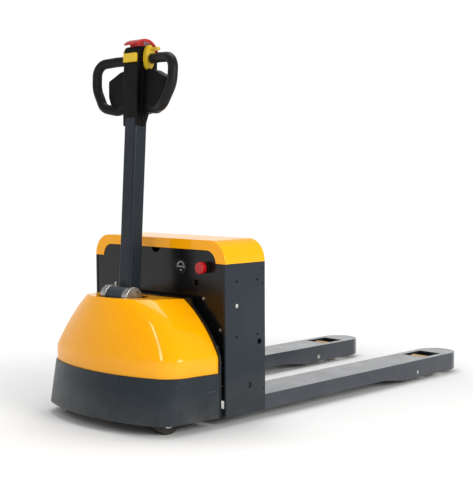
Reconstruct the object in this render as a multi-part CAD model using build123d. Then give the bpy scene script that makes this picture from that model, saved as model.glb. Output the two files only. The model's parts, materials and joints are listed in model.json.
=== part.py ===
from build123d import *
import math
import os

# Electric pallet truck. Millimetres, +Z up, +X towards the fork tips, Y across the truck.
# The pieces are drawn with X = 0 at the carriage's front face and Z = 0 on the floor. Each one is
# then moved along X so that the row's origin is the centre of the whole truck's footprint.

# ---- Driving sizes -------------------------------------------------------------------------
FORK_LENGTH = 1220.0
FORK_SPREAD = 685.0
FORK_WIDTH = 158.0
FORK_TOP = 85.0
FORK_WALL = 6.0
FORK_BOTTOM = 33.0
FORK_SOLE = 15.0
LIFT = 120.0

CARRIAGE_DEPTH = 190.0
CARRIAGE_BOTTOM = 33.0
SIDE_TOP = 542.0
COVER_TOP = 619.0
SIDE_PLATE = 8.0
COVER_SHEET = 3.0
COVER_CORNER_R = 74.0
COVER_GAP = 0.5
PANEL_SETBACK = 2.0
PANEL_SHEET = 5.0

NOSE = 315.0
SKIRT_HALF = 344.0
SKIRT_BOTTOM = 38.0
SKIRT_TOP = 186.0
SKIRT_SHEET = 4.0
SKIRT_LEDGE = 10.0
SKIRT_NOSE_R = 740.0
SKIRT_CORNER_R = 105.0
SKIRT_LEAN = 27.0
SKIRT_FLARE = 22.0
HOOD_LIP_TOP = 239.0
HOOD_TOP = 430.0
HOOD_FALL = 3.0
HOOD_REAR_HALF = 153.0
HOOD_SHEET = 4.0
HOOD_SETBACK = 5.0
HOOD_NOSE_TOP = 248.0
HOOD_TOP_NOSE_R = 230.0
HOOD_TOP_CORNER_R = 92.0
CHASSIS_REAR = -22.0
BACK_PLATE = 8.0
BACK_PLATE_MARGIN = 12.0
BACK_PLATE_TOP = 424.0

BRACKET_BOTTOM = 240.0
RIB_FRONT = -242.0
GUSSET_TOP = 292.0

DRIVE_X = -188.0
DRIVE_WHEEL_R = 100.0
DRIVE_WHEEL_WIDTH = 80.0
DRIVE_TYRE = 24.0
DRIVE_AXLE_R = 20.0
DECK_BOTTOM = 282.0
DECK_SHEET = 10.0
SPIGOT_R = 58.0
BEARING_WALL = 11.0
MOTOR_R = 54.0
MOTOR_TOP = 345.0
GEAR_MODULE = 3.6
GEAR_TEETH = 44
PINION_TEETH = 16
GEAR_WIDTH = 9.0
PINION_BEARING = 50.0
RUNNING = 0.05
FREE = 0.3

CASTER_X = -172.0
CASTER_Y = 251.0
CASTER_R = 50.0
CASTER_WIDTH = 50.0
CASTER_TRAIL = 15.0
CASTER_TYRE = 20.0
CASTER_AXLE_R = 6.0

SWIVEL_X = -152.0
PIVOT_X = -160.0
PIVOT_Z = 425.0
PIN_R = 15.0
BARREL_R = 34.0
BARREL_LENGTH = 87.0
BOSS_R = 36.0
BOSS_LENGTH = 27.0
WELL_R = 87.0
BRIDGE_BOTTOM = 368.0
BRIDGE_SHEET = 8.0
ARM_WIDTH = 60.0
ARM_DEPTH = 52.0
ARM_WALL = 4.0
ARM_OFFSET = 36.0
ARM_TOP = 1120.0
TILLER_LEAN = 3.5

GRIP_R = 17.0
GRIP_HALF = 201.0
LIFT_KEY_TRAVEL = 5.0
BELLY_TRAVEL = 8.0

YOKE_PIVOT = (1094.0, 36.0)
YOKE_ARM = 130.0
YOKE_PIN_R = 9.0
YOKE_EAR = 32.0
YOKE_SWING = 65.0
ROLLER_R = 40.0
ROLLER_WIDTH = 84.0
ROLLER_AXLE_R = 10.0
ROLLER_TYRE = 12.0
WINDOW = (1165.0, 1292.0, 104.0)
BATTERY_TOP = 450.0
ROCKER_PIVOT = (112.0, 127.5)
ROCKER_FRONT = 202.0
ROCKER_LOWER = 58.0
ROCKER_SWING = 34.6
ROCKER_TUBE_R = 22.0
JOURNAL_R = 11.0

PATTERN_CENTRE = (103.5, 389.5)
PATTERN_SPACING = (101.0, 186.0)
PATTERN_HOLE_R = 4.0

NECK_HALF = 37.0
WING_SETBACK = 24.0
NECK_TOP = 1276.0
SHOULDER_HALF = 147.0
SHOULDER_Z = 1166.0
COLLAR_Z = 1007.0
ESTOP_Y, ESTOP_Z = -247.0, 527.0
GAUGE_Y, GAUGE_Z = -128.0, 525.0
PORT_Y, PORT_Z = -201.0, 473.0
LINK_BOLT = (55.0, 401.0, 7.0)
SIDES = {"left": 1, "right": -1}

# ---- Values that follow from them ----------------------------------------------------------
HALF = FORK_SPREAD / 2
FORK_Y = HALF - FORK_WIDTH / 2
TIP = CARRIAGE_DEPTH + FORK_LENGTH
ROW_SHIFT = (NOSE - TIP) / 2
BACK_FACE = CHASSIS_REAR - BACK_PLATE
SPIGOT_BASE = DECK_BOTTOM - 20.0
DECK_TOP = DECK_BOTTOM + DECK_SHEET
BRIDGE_TOP = BRIDGE_BOTTOM + BRIDGE_SHEET
GEAR_CENTRES = GEAR_MODULE * (GEAR_TEETH + PINION_TEETH) / 2
PINION_X = DRIVE_X + GEAR_CENTRES * math.cos(math.radians(PINION_BEARING))
PINION_Y = GEAR_CENTRES * math.sin(math.radians(PINION_BEARING))
ROLLER_X = YOKE_PIVOT[0] + math.sqrt(YOKE_ARM**2 - (ROLLER_R - YOKE_PIVOT[1]) ** 2)
BOSS_INNER = BARREL_LENGTH / 2 + FREE
BOSS_OUTER = BOSS_INNER + BOSS_LENGTH
ARM_X = PIVOT_X + ARM_OFFSET
HEAD_FRONT = PIVOT_X + 4.0
HEAD_SPLIT = PIVOT_X + 36.0
HEAD_REAR = PIVOT_X + 92.0
GRIP_PLANE = PIVOT_X + 19.0
THROTTLE_AXIS = (PIVOT_X + 50.0, 1238.0)
HINGE_X, HINGE_Z = CARRIAGE_DEPTH + 5.0, SIDE_TOP + COVER_GAP / 2


def block(x0, x1, y0, y1, z0, z1):
    return Pos((x0 + x1) / 2, (y0 + y1) / 2, (z0 + z1) / 2) * Box(x1 - x0, y1 - y0, z1 - z0)


def rod_x(y, z, r, x0, x1):
    return Pos((x0 + x1) / 2, y, z) * Rot(0, 90, 0) * Cylinder(r, x1 - x0)


def rod_y(x, z, r, y0, y1):
    return Pos(x, (y0 + y1) / 2, z) * Rot(90, 0, 0) * Cylinder(r, y1 - y0)


def rod_z(x, y, r, z0, z1):
    return Pos(x, y, (z0 + z1) / 2) * Cylinder(r, z1 - z0)


def mirrored(shape):
    return shape + mirror(shape, about=Plane.XZ)


def joined(pieces):
    whole = pieces[0]
    for piece in pieces[1:]:
        whole += piece
    return whole


def rise(face, amount):
    return extrude(face, amount=amount, dir=(0, 0, 1))


def slab(points, y0, y1):
    """A plate whose outline is given as (x, z) points, from y0 to y1."""
    face = make_face(Polyline(*[(x, y0, z) for x, z in points], close=True))
    return extrude(face, amount=y1 - y0, dir=(0, 1, 0))


def arm_plate(start, end, r_start, r_end, y0, y1):
    """A flat link from start to end, (x, z) points, rounded about both."""
    length = math.dist(start, end)
    along = math.atan2(end[1] - start[1], end[0] - start[0])
    offset = math.asin((r_start - r_end) / length)
    corners = []
    for centre, r, side in ((start, r_start, 1), (end, r_end, 1), (end, r_end, -1), (start, r_start, -1)):
        angle = along + side * (math.pi / 2 - offset)
        corners.append((centre[0] + r * math.cos(angle), centre[1] + r * math.sin(angle)))
    link = slab(corners, y0, y1)
    link += rod_y(start[0], start[1], r_start, y0, y1)
    return link + rod_y(end[0], end[1], r_end, y0, y1)


def nose_outline(nose, half, nose_r, corner_r, rear, z, flare=0.0):
    """A flat D: a bowed front, rounded corners, sides that flare to the rear, and a straight rear edge."""
    slim = half - flare
    corner_x = -nose + nose_r - math.sqrt(nose_r**2 - slim**2)
    front = ThreePointArc((corner_x, -slim, z), (-nose, 0, z), (corner_x, slim, z))
    wide = half + flare * (rear - BACK_FACE) / (BACK_FACE - corner_x)
    sides = Polyline((corner_x, slim, z), (rear, wide, z), (rear, -wide, z), (corner_x, -slim, z))
    face = make_face([front, *sides.edges()])
    return fillet(face.vertices().sort_by(Axis.X)[:2], corner_r)


# ---- Skirt and hood ------------------------------------------------------------------------
def skirt_outline(z, inset, rear):
    lean = SKIRT_LEAN * (z - SKIRT_BOTTOM) / (SKIRT_TOP - SKIRT_BOTTOM)
    half = SKIRT_HALF - inset
    nose = NOSE - lean - inset
    return nose_outline(nose, half, SKIRT_NOSE_R, SKIRT_CORNER_R - inset, rear, z, SKIRT_FLARE)


def skirt_body(inset, z0, z1, rear):
    return loft([skirt_outline(z0, inset, rear), skirt_outline(z1, inset, rear)], ruled=True)


def drive_skirt():
    shell = skirt_body(0, SKIRT_BOTTOM, SKIRT_TOP, BACK_FACE)
    inside = skirt_body(SKIRT_SHEET, SKIRT_BOTTOM - 1, SKIRT_TOP - SKIRT_SHEET, BACK_FACE + 1)
    mouth = skirt_body(SKIRT_SHEET + SKIRT_LEDGE, SKIRT_TOP - SKIRT_SHEET - 1, SKIRT_TOP + 1, BACK_FACE + 1)
    return shell - inside - mouth


def hood_half(z):
    """Half width of the hood's rear edge: an arc of an ellipse from the lip up to the top."""
    lip_half = SKIRT_HALF - HOOD_SETBACK - 1
    top_half = HOOD_REAR_HALF
    low, high = 296.0, 296.0 + HOOD_TOP - HOOD_LIP_TOP
    k = (lip_half**2 - top_half**2) / (high**2 - low**2)
    return math.sqrt(lip_half**2 - k * ((low + z - HOOD_LIP_TOP) ** 2 - low**2))


def hood_outline(z, inset, rear):
    share = max(0.0, (z - HOOD_LIP_TOP) / (HOOD_TOP - HOOD_LIP_TOP))
    lip_nose = NOSE - SKIRT_LEAN - HOOD_SETBACK
    nose = lip_nose + share * (HOOD_NOSE_TOP - lip_nose)
    nose_r = SKIRT_NOSE_R + share * (HOOD_TOP_NOSE_R - SKIRT_NOSE_R)
    corner_r = SKIRT_CORNER_R - HOOD_SETBACK + share * (HOOD_TOP_CORNER_R - SKIRT_CORNER_R)
    half = hood_half(max(z, HOOD_LIP_TOP))
    flare = SKIRT_FLARE * (1 - 0.5 * share)
    return nose_outline(nose - inset, half - inset, nose_r, corner_r - inset, rear, z, flare)


def hood_body(inset, top, rear):
    """The hood's outer body or its hollow, with a flat top that falls a little to the rear."""
    levels = [HOOD_LIP_TOP + (top - HOOD_LIP_TOP) * share for share in (0, 0.25, 0.5, 0.75, 1)]
    crown = loft([hood_outline(z, inset, rear) for z in levels])
    lip = rise(hood_outline(SKIRT_TOP - 1, inset, rear), HOOD_LIP_TOP - SKIRT_TOP + 1)
    front, length = -HOOD_NOSE_TOP, HOOD_NOSE_TOP + 10
    fall = length * math.tan(math.radians(HOOD_FALL))
    above = [(front - 10, top), (front, top), (front + length, top - fall), (front + length, top + 10)]
    return crown + lip - slab(above + [(front - 10, top + 10)], -HALF, HALF)


def drive_hood():
    shell = hood_body(0, HOOD_TOP, BACK_FACE)
    shell -= hood_body(HOOD_SHEET, HOOD_TOP - HOOD_SHEET, BACK_FACE + 1)
    shell -= block(-NOSE, 0, -HALF, HALF, SKIRT_TOP - 2, SKIRT_TOP)
    return shell - rod_z(SWIVEL_X, 0, WELL_R, HOOD_TOP - 40, HOOD_TOP + 10)


# ---- Chassis -------------------------------------------------------------------------------
def back_plate():
    levels = [HOOD_LIP_TOP + (HOOD_TOP - HOOD_LIP_TOP) * i / 6 for i in range(7)]
    rim = [(min(hood_half(z) + BACK_PLATE_MARGIN, SKIRT_HALF), z) for z in levels if z < BACK_PLATE_TOP - 4]
    side = [(SKIRT_HALF, CARRIAGE_BOTTOM + 4.0), *rim, (rim[-1][0] - BACK_PLATE_MARGIN, BACK_PLATE_TOP)]
    outline = side + [(-y, z) for y, z in reversed(side)]
    face = make_face(Polyline(*[(BACK_FACE, y, z) for y, z in outline], close=True))
    plate = extrude(face, amount=BACK_PLATE, dir=(1, 0, 0))
    window_top = GUSSET_TOP - 8.0 + LIFT
    plate -= block(BACK_FACE - 1, CHASSIS_REAR + 1, -26, 26, BRACKET_BOTTOM - 12, window_top)
    slot = block(BACK_FACE - 1, CHASSIS_REAR + 1, FORK_Y - 14, FORK_Y + 14, 140, 226)
    return plate - mirrored(slot)


def deck():
    plate = rise(nose_outline(263, 262, 600, 90, BACK_FACE, DECK_BOTTOM), DECK_SHEET)
    plate -= rod_z(DRIVE_X, 0, SPIGOT_R + RUNNING + BEARING_WALL, DECK_BOTTOM - 1, DECK_TOP + 1)
    plate -= rod_z(PINION_X, PINION_Y, 14, DECK_BOTTOM - 1, DECK_TOP + 1)
    return plate - block(-84, BACK_FACE + 1, -28, 28, DECK_BOTTOM - 1, DECK_TOP + 1)


def bridge():
    plate = block(-240, BACK_FACE, -82, 82, BRIDGE_BOTTOM, BRIDGE_TOP)
    plate -= block(-86, BACK_FACE + 1, -30, 30, BRIDGE_BOTTOM - 1, BRIDGE_TOP + 1)
    plate -= rod_z(SWIVEL_X, 0, 16 + RUNNING, BRIDGE_BOTTOM - 1, BRIDGE_TOP + 1)
    post = block(-236, -220, 64, 82, DECK_TOP, BRIDGE_BOTTOM)
    return plate + mirrored(post)


def caster_shelf():
    plate = rise(skirt_outline(145, SKIRT_SHEET + FREE, BACK_FACE).moved(Location((0, 0, -10))), 10)
    return plate - block(-NOSE, 0, -150, 150, 100, 200) - block(-NOSE, RIB_FRONT, -HALF, HALF, 100, 200)


def rocker_seat():
    """Two cheeks that hold the end of a rocker arm in a slot, which lets it swing as it lifts."""
    tip = rocker_tip()
    seat = block(tip[0] - 26, tip[0] + 18, FORK_Y - 24, FORK_Y + 24, 145, tip[1] + 20)
    seat -= block(tip[0] - 27, tip[0] + 19, FORK_Y - 12, FORK_Y + 12, 150, tip[1] + 21)
    slot = block(tip[0] - 10, tip[0], FORK_Y - 25, FORK_Y + 25, tip[1] - 9.5, tip[1] + 9.5)
    slot += rod_y(tip[0] - 10, tip[1], 9.5, FORK_Y - 25, FORK_Y + 25)
    slot += rod_y(tip[0], tip[1], 9.5, FORK_Y - 25, FORK_Y + 25)
    return seat - slot


def chassis_frame():
    frame = back_plate() + deck() + bridge() + caster_shelf()
    frame += mirrored(block(RIB_FRONT, BACK_FACE, 150, 158, 135, DECK_BOTTOM))
    frame += mirrored(rocker_seat())
    frame += block(-76, BACK_FACE, -30, 30, 52, 60)
    return frame


def steer_bearing():
    z0 = SPIGOT_BASE + GEAR_WIDTH + 1 + FREE
    ring = rod_z(DRIVE_X, 0, SPIGOT_R + RUNNING + BEARING_WALL, z0, DECK_TOP)
    return ring - rod_z(DRIVE_X, 0, SPIGOT_R + RUNNING, z0 - 1, DECK_TOP + 1)


def steering_motor():
    body = rod_z(PINION_X, PINION_Y, 33, DECK_TOP + 6, 358)
    body += block(PINION_X - 36, PINION_X + 36, PINION_Y - 36, PINION_Y + 36, DECK_TOP, DECK_TOP + 6)
    body = body - rod_z(PINION_X, PINION_Y, 12 + RUNNING, DECK_TOP - 1, DECK_TOP + 30)
    return body + rod_z(PINION_X, PINION_Y, 14, 358, 363)


def power_pack():
    tank = fillet(block(-166, -60, -214, -128, DECK_TOP, 340).edges().filter_by(Axis.Z), 14)
    pump = rod_y(-115, 318, 18, -128, -112)
    filler = rod_z(-95, -175, 11, 340, 348)
    return tank + pump + filler


def motor_controller():
    base = block(-166, -60, 146, 212, DECK_TOP, DECK_TOP + 8)
    cover = fillet(block(-160, -66, 152, 206, DECK_TOP + 8, 332).edges().filter_by(Axis.Z), 6)
    return joined([base, cover] + [rod_z(x, 178, 6, 332, 342) for x in (-148, -124, -100, -78)])


def lift_cylinder():
    barrel = rod_z(-54, 0, 20, 60, 222)
    gland = rod_z(-54, 0, 22, 208, 228)
    return barrel + gland - rod_z(-54, 0, 11 + RUNNING, 72, 229)


def hood_screws():
    heads = [rod_x(y, z, 6, CHASSIS_REAR, CHASSIS_REAR + 4) for y, z in ((60, 400), (180, 345), (290, 230))]
    return mirrored(joined(heads))


# ---- Drive unit ----------------------------------------------------------------------------
def drive_bracket():
    half = DRIVE_WHEEL_WIDTH / 2
    axle_z = DRIVE_WHEEL_R
    crown = rod_z(DRIVE_X, 0, SPIGOT_R + 8, SPIGOT_BASE - 24, SPIGOT_BASE)
    crown += rod_z(DRIVE_X, 0, SPIGOT_R, SPIGOT_BASE, DECK_TOP - 2)
    cheek = block(DRIVE_X - 40, DRIVE_X + 40, half + 6, half + 18, axle_z, SPIGOT_BASE - 12)
    cheek += rod_y(DRIVE_X, axle_z, 40, half + 6, half + 18)
    bracket = crown + mirrored(cheek)
    return bracket - rod_y(DRIVE_X, axle_z, DRIVE_AXLE_R, -half - 20, half + 20)


def drive_gearbox():
    inner = DRIVE_WHEEL_WIDTH / 2 + 18
    case = arm_plate((DRIVE_X, DRIVE_WHEEL_R), (DRIVE_X, 205), 44, 32, inner, inner + 16)
    return case + rod_y(DRIVE_X, 205, 18, inner + 16, inner + 24)


def drive_axle():
    end = DRIVE_WHEEL_WIDTH / 2 + 18
    axle = rod_y(DRIVE_X, DRIVE_WHEEL_R, DRIVE_AXLE_R, -end, end)
    return axle + rod_y(DRIVE_X, DRIVE_WHEEL_R, DRIVE_AXLE_R + 9, -end - 7, -end)


def traction_motor():
    z0 = DECK_TOP - 2
    can = rod_z(DRIVE_X, 0, MOTOR_R, z0, MOTOR_TOP - 14)
    brake = rod_z(DRIVE_X, 0, MOTOR_R - 12, MOTOR_TOP - 14, MOTOR_TOP)
    grooves = joined([rod_z(DRIVE_X, 0, MOTOR_R + 1, z, z + 2) for z in (z0 + 12, z0 + 20, z0 + 28)])
    core = rod_z(DRIVE_X, 0, MOTOR_R - 2, z0, MOTOR_TOP - 14)
    return can - (grooves - core) + brake


def gear(teeth, centre, turn, z0, bore):
    """A spur gear with straight-flanked teeth, a little narrow so that the mesh runs free."""
    root = GEAR_MODULE * (teeth / 2 - 1.15)
    pitch = GEAR_MODULE * teeth / 2
    crest = GEAR_MODULE * (teeth / 2 + 0.8)
    step = 2 * math.pi / teeth
    points = []
    for i in range(teeth):
        middle = math.radians(turn) + i * step
        for radius, width in ((root, -0.30), (pitch, -0.22), (crest, -0.11)):
            points.append((radius, middle + width * step))
        for radius, width in ((crest, 0.11), (pitch, 0.22), (root, 0.30)):
            points.append((radius, middle + width * step))
    outline = [(centre[0] + r * math.cos(a), centre[1] + r * math.sin(a), z0) for r, a in points]
    body = rise(make_face(Polyline(*outline, close=True)), GEAR_WIDTH)
    return body - rod_z(centre[0], centre[1], bore, z0 - 1, z0 + GEAR_WIDTH + 1)


def steer_gear():
    """The ring gear round the spigot, with a tooth pointing at the pinion."""
    return gear(GEAR_TEETH, (DRIVE_X, 0), PINION_BEARING, SPIGOT_BASE, SPIGOT_R)


def steer_pinion():
    """The pinion, with a tooth space pointing at the ring gear's tooth."""
    turn = PINION_BEARING + 180 + 180 / PINION_TEETH
    wheel = gear(PINION_TEETH, (PINION_X, PINION_Y), turn, SPIGOT_BASE, 6)
    return wheel + rod_z(PINION_X, PINION_Y, 12, SPIGOT_BASE, DECK_TOP + 28)


def drive_hub():
    half = DRIVE_WHEEL_WIDTH / 2
    hub = rod_y(DRIVE_X, DRIVE_WHEEL_R, DRIVE_WHEEL_R - DRIVE_TYRE, -half + 3, half - 3)
    dish = rod_y(DRIVE_X, DRIVE_WHEEL_R, DRIVE_WHEEL_R - DRIVE_TYRE - 10, half - 15, half)
    dish -= rod_y(DRIVE_X, DRIVE_WHEEL_R, 42, half - 16, half + 1)
    hub = hub - mirrored(dish) + rod_y(DRIVE_X, DRIVE_WHEEL_R, 42, -half - 5, half + 5)
    return hub - rod_y(DRIVE_X, DRIVE_WHEEL_R, DRIVE_AXLE_R + RUNNING, -half - 6, half + 6)


def tyre(x, y, z, outer, thickness, width, corner):
    band = rod_y(x, z, outer, y - width / 2, y + width / 2)
    band = fillet(band.edges().filter_by(GeomType.CIRCLE), corner)
    return band - rod_y(x, z, outer - thickness, y - width / 2 - 1, y + width / 2 + 1)


# ---- Casters -------------------------------------------------------------------------------
def caster_fork(side):
    y = side * CASTER_Y
    wheel_x = CASTER_X - CASTER_TRAIL
    gap = CASTER_WIDTH / 2 + 3
    crown_z = 2 * CASTER_R + 8
    crown = rod_z(CASTER_X, y, 33, crown_z, crown_z + 7)
    crown += rod_z(CASTER_X, y, 24, crown_z + 7, 135 - FREE)
    for edge in (-1, 1):
        low, high = sorted((y + edge * gap, y + edge * (gap + 4)))
        points = [(CASTER_X - 27, crown_z + 7), (CASTER_X + 24, crown_z + 7), (wheel_x + 14, CASTER_R - 8)]
        points += [(wheel_x, CASTER_R - 14), (wheel_x - 14, CASTER_R - 8)]
        crown += slab(points, low, high)
    bridge_low, bridge_high = y - gap - 4, y + gap + 4
    crown += block(CASTER_X - 27, CASTER_X + 24, bridge_low, bridge_high, crown_z, crown_z + 7)
    crown += rod_y(wheel_x, CASTER_R, CASTER_AXLE_R, y - gap - 4, y + gap + 4)
    for edge in (-1, 1):
        low, high = sorted((y + edge * (gap + 4), y + edge * (gap + 8)))
        crown += rod_y(wheel_x, CASTER_R, 9, low, high)
    return crown


def caster_hub(side):
    y = side * CASTER_Y
    x = CASTER_X - CASTER_TRAIL
    half = CASTER_WIDTH / 2
    hub = rod_y(x, CASTER_R, CASTER_R - CASTER_TYRE, y - half + 2, y + half - 2)
    for edge in (-1, 1):
        low, high = sorted((y + edge * (half - 9), y + edge * half))
        dish = rod_y(x, CASTER_R, CASTER_R - CASTER_TYRE - 4, low, high)
        hub -= dish - rod_y(x, CASTER_R, 14, low - 1, high + 1)
    hub += rod_y(x, CASTER_R, 12, y - half - 2, y + half + 2)
    return hub - rod_y(x, CASTER_R, CASTER_AXLE_R + RUNNING, y - half - 3, y + half + 3)


def caster_tyre(side):
    x = CASTER_X - CASTER_TRAIL
    return tyre(x, side * CASTER_Y, CASTER_R, CASTER_R, CASTER_TYRE, CASTER_WIDTH, 6)


# ---- Tiller pivot and arm ------------------------------------------------------------------
def lean(shape):
    return shape.rotate(Axis((PIVOT_X, 0, PIVOT_Z), (0, 1, 0)), TILLER_LEAN)


def tiller_swivel():
    disc = rod_z(SWIVEL_X, 0, 70, BRIDGE_TOP + FREE, BRIDGE_TOP + 10)
    disc += rod_z(SWIVEL_X, 0, 16, BRIDGE_BOTTOM - 14, BRIDGE_TOP + 5)
    disc += rod_z(SWIVEL_X, 0, 22, BRIDGE_BOTTOM - 12, BRIDGE_BOTTOM - FREE)
    foot = block(PIVOT_X - 26, PIVOT_X + 30, BOSS_INNER + 4, BOSS_OUTER - 5, BRIDGE_TOP + 5, PIVOT_Z)
    foot &= rod_z(SWIVEL_X, 0, 78, BRIDGE_TOP, PIVOT_Z)
    boss = rod_y(PIVOT_X, PIVOT_Z, BOSS_R, BOSS_INNER, BOSS_OUTER)
    boss = fillet(boss.edges().filter_by(GeomType.CIRCLE), 2.5)
    lug = foot + boss - rod_y(PIVOT_X, PIVOT_Z, PIN_R, 0, BOSS_OUTER - 6)
    return disc + mirrored(lug)


def pivot_pin():
    return rod_y(PIVOT_X, PIVOT_Z, PIN_R, 6 - BOSS_OUTER, BOSS_OUTER - 6)


def tiller_barrel():
    half = BARREL_LENGTH / 2
    tube = rod_y(PIVOT_X, PIVOT_Z, BARREL_R, -half, half)
    tube = fillet(tube.edges().filter_by(GeomType.CIRCLE), 2)
    return lean(tube - rod_y(PIVOT_X, PIVOT_Z, PIN_R + RUNNING, -half - 1, half + 1))


def arm_section(inset, z0, z1):
    depth, width = ARM_DEPTH / 2 - inset, ARM_WIDTH / 2 - inset
    tube = block(ARM_X - depth, ARM_X + depth, -width, width, z0, z1)
    return fillet(tube.edges().filter_by(Axis.Z), 7 - inset)


def tiller_arm():
    tube = arm_section(0, PIVOT_Z - 12, ARM_TOP) - arm_section(ARM_WALL, PIVOT_Z - 6, ARM_TOP + 1)
    return lean(tube - rod_y(PIVOT_X, PIVOT_Z, BARREL_R, -ARM_WIDTH, ARM_WIDTH))


def grease_nipple():
    stem = rod_z(PIVOT_X - 4, 26, 3, PIVOT_Z + BARREL_R - 1, PIVOT_Z + BARREL_R + 9)
    stem += Pos(PIVOT_X - 4, 26, PIVOT_Z + BARREL_R + 10) * Sphere(4.5)
    return lean(stem - rod_y(PIVOT_X, PIVOT_Z, BARREL_R, 0, 40))


# ---- Tiller head ---------------------------------------------------------------------------


def head_outline():
    """Half outline of the head's casing, as (y, z) points from the collar up to the neck's top."""
    collar = [(0, COLLAR_Z), (41, COLLAR_Z), (46, 1046), (92, 1052), (128, 1080)]
    shoulder = [(SHOULDER_HALF - 4, 1110), (SHOULDER_HALF, SHOULDER_Z), (86, 1194), (56, 1200)]
    neck = [(NECK_HALF, 1222), (NECK_HALF, NECK_TOP), (0, NECK_TOP)]
    return collar + shoulder + neck


def head_slice(x0, x1, points):
    outline = points + [(-y, z) for y, z in reversed(points) if y > 0]
    face = make_face(Polyline(*[(x0, y, z) for y, z in outline], close=True))
    return extrude(face, amount=x1 - x0, dir=(1, 0, 0))


def head_casing():
    wings = head_slice(HEAD_FRONT + WING_SETBACK, HEAD_REAR - 22, head_outline())
    neck = block(HEAD_FRONT, HEAD_REAR, -NECK_HALF, NECK_HALF, 1120, NECK_TOP)
    neck = fillet(neck.edges().filter_by(Axis.Y).sort_by(Axis.Z)[-2:], 16)
    neck += block(HEAD_FRONT, HEAD_SPLIT + 20, -NECK_HALF, NECK_HALF, COLLAR_Z, 1130)
    crown = block(HEAD_FRONT - 1, HEAD_REAR + 1, -NECK_HALF - 1, NECK_HALF + 1, 1240, NECK_TOP + 1)
    wings -= crown - neck
    neck -= slab([(PIVOT_X + 40, NECK_TOP), (HEAD_REAR + 1, NECK_TOP), (HEAD_REAR + 1, 1236)], -90, 90)
    wings -= slab([(PIVOT_X + 40, NECK_TOP), (HEAD_REAR + 1, NECK_TOP), (HEAD_REAR + 1, 1236)], -90, 90)
    taper = slab([(HEAD_FRONT - 1, 1000), (HEAD_FRONT - 1, 1150), (HEAD_FRONT + 8, 1000)], -200, 200)
    bevel = slab([(HEAD_REAR - 22, 1120), (HEAD_REAR - 22, 1000), (HEAD_REAR - 46, 1000)], -200, 200)
    return wings + neck - taper - bevel - mirrored(throttle_clearance(50))


def head_cavity():
    """What the casing leaves free: the arm's top, the throttle shaft, the keys' wells."""
    arm = block(ARM_X - ARM_DEPTH / 2, ARM_X + ARM_DEPTH / 2, -ARM_WIDTH / 2, ARM_WIDTH / 2, 900, ARM_TOP)
    arm = fillet(arm.edges().filter_by(Axis.Z), 7)
    shaft = rod_y(THROTTLE_AXIS[0], THROTTLE_AXIS[1], 8 + RUNNING, -60, 60)
    key_well = block(HEAD_FRONT - 1, HEAD_FRONT + 16, -33.5, 33.5, 1219, 1253)
    key_pin = rod_y(HEAD_FRONT + 8, 1236, 3 + RUNNING, -36, 36)
    belly_well = block(PIVOT_X + 13.7, PIVOT_X + 44.3, -20.3, 20.3, 1260, NECK_TOP + 1)
    return arm + shaft + key_well + key_pin + belly_well


def head_shells():
    body = head_casing() - head_cavity()
    front = body & block(HEAD_FRONT - 20, HEAD_SPLIT, -300, 300, 900, 1400)
    rear = body & block(HEAD_SPLIT, HEAD_REAR + 20, -300, 300, 900, 1400)
    return lean(front), lean(rear)


def grip_loop():
    points = [(THROTTLE_AXIS[0] + 2, NECK_HALF - 4, 1234), (PIVOT_X + 36, 110, 1233)]
    points += [(GRIP_PLANE, GRIP_HALF, 1226), (GRIP_PLANE, GRIP_HALF - 2, 1140)]
    points += [(GRIP_PLANE, 156, 1072), (PIVOT_X + 40, 100, 1061), (PIVOT_X + 46, 52, 1080)]
    path = FilletPolyline(*points, radius=[90, 42, 90, 40, 40])
    start = Plane(origin=path @ 0, z_dir=path % 0)
    return sweep(start * Circle(GRIP_R), path=path)


def handle_loops():
    loop = grip_loop() - head_casing() - throttle_clearance(60)
    loop = loop.solids().sort_by(SortBy.VOLUME)[-1]
    return lean(mirrored(loop))


def throttle_clearance(r):
    """The space beside the neck that the thumb paddles turn in."""
    return rod_y(THROTTLE_AXIS[0], THROTTLE_AXIS[1], r, NECK_HALF, NECK_HALF + 25)


def thumb_paddle():
    """One side's paddle: a hub with a broad front wing and a short rear wing."""
    x, z = THROTTLE_AXIS
    inner = NECK_HALF + 1.5
    outer = NECK_HALF + 23
    hub = rod_y(x, z, 20, inner, outer)
    wing = Pos(x - 8, (inner + outer) / 2, z) * Rot(90, 0, 0) * extrude(Ellipse(19, 42), 9, both=True)
    tail = block(x - 9, x + 9, inner + 4, inner + 50, z + 24, z + 34)
    tail += block(x - 9, x + 9, inner + 4, outer, z, z + 34)
    tail = fillet(tail.edges().filter_by(Axis.Y).group_by(Axis.Z)[-1], 4)
    return hub + wing + tail


def throttle_paddles():
    x, z = THROTTLE_AXIS
    paddles = mirrored(thumb_paddle()) + rod_y(x, z, 8, -NECK_HALF - 2, NECK_HALF + 2)
    return lean(paddles)


def lift_key():
    """The rocker key on the neck's front face, with its pin."""
    key = block(HEAD_FRONT - 7, HEAD_FRONT + 6, -33, 33, 1221, 1251)
    key = fillet(key.edges().filter_by(Axis.X), 4)
    return lean(key + rod_y(HEAD_FRONT + 8, 1236, 3, -35.5, 35.5))


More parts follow.
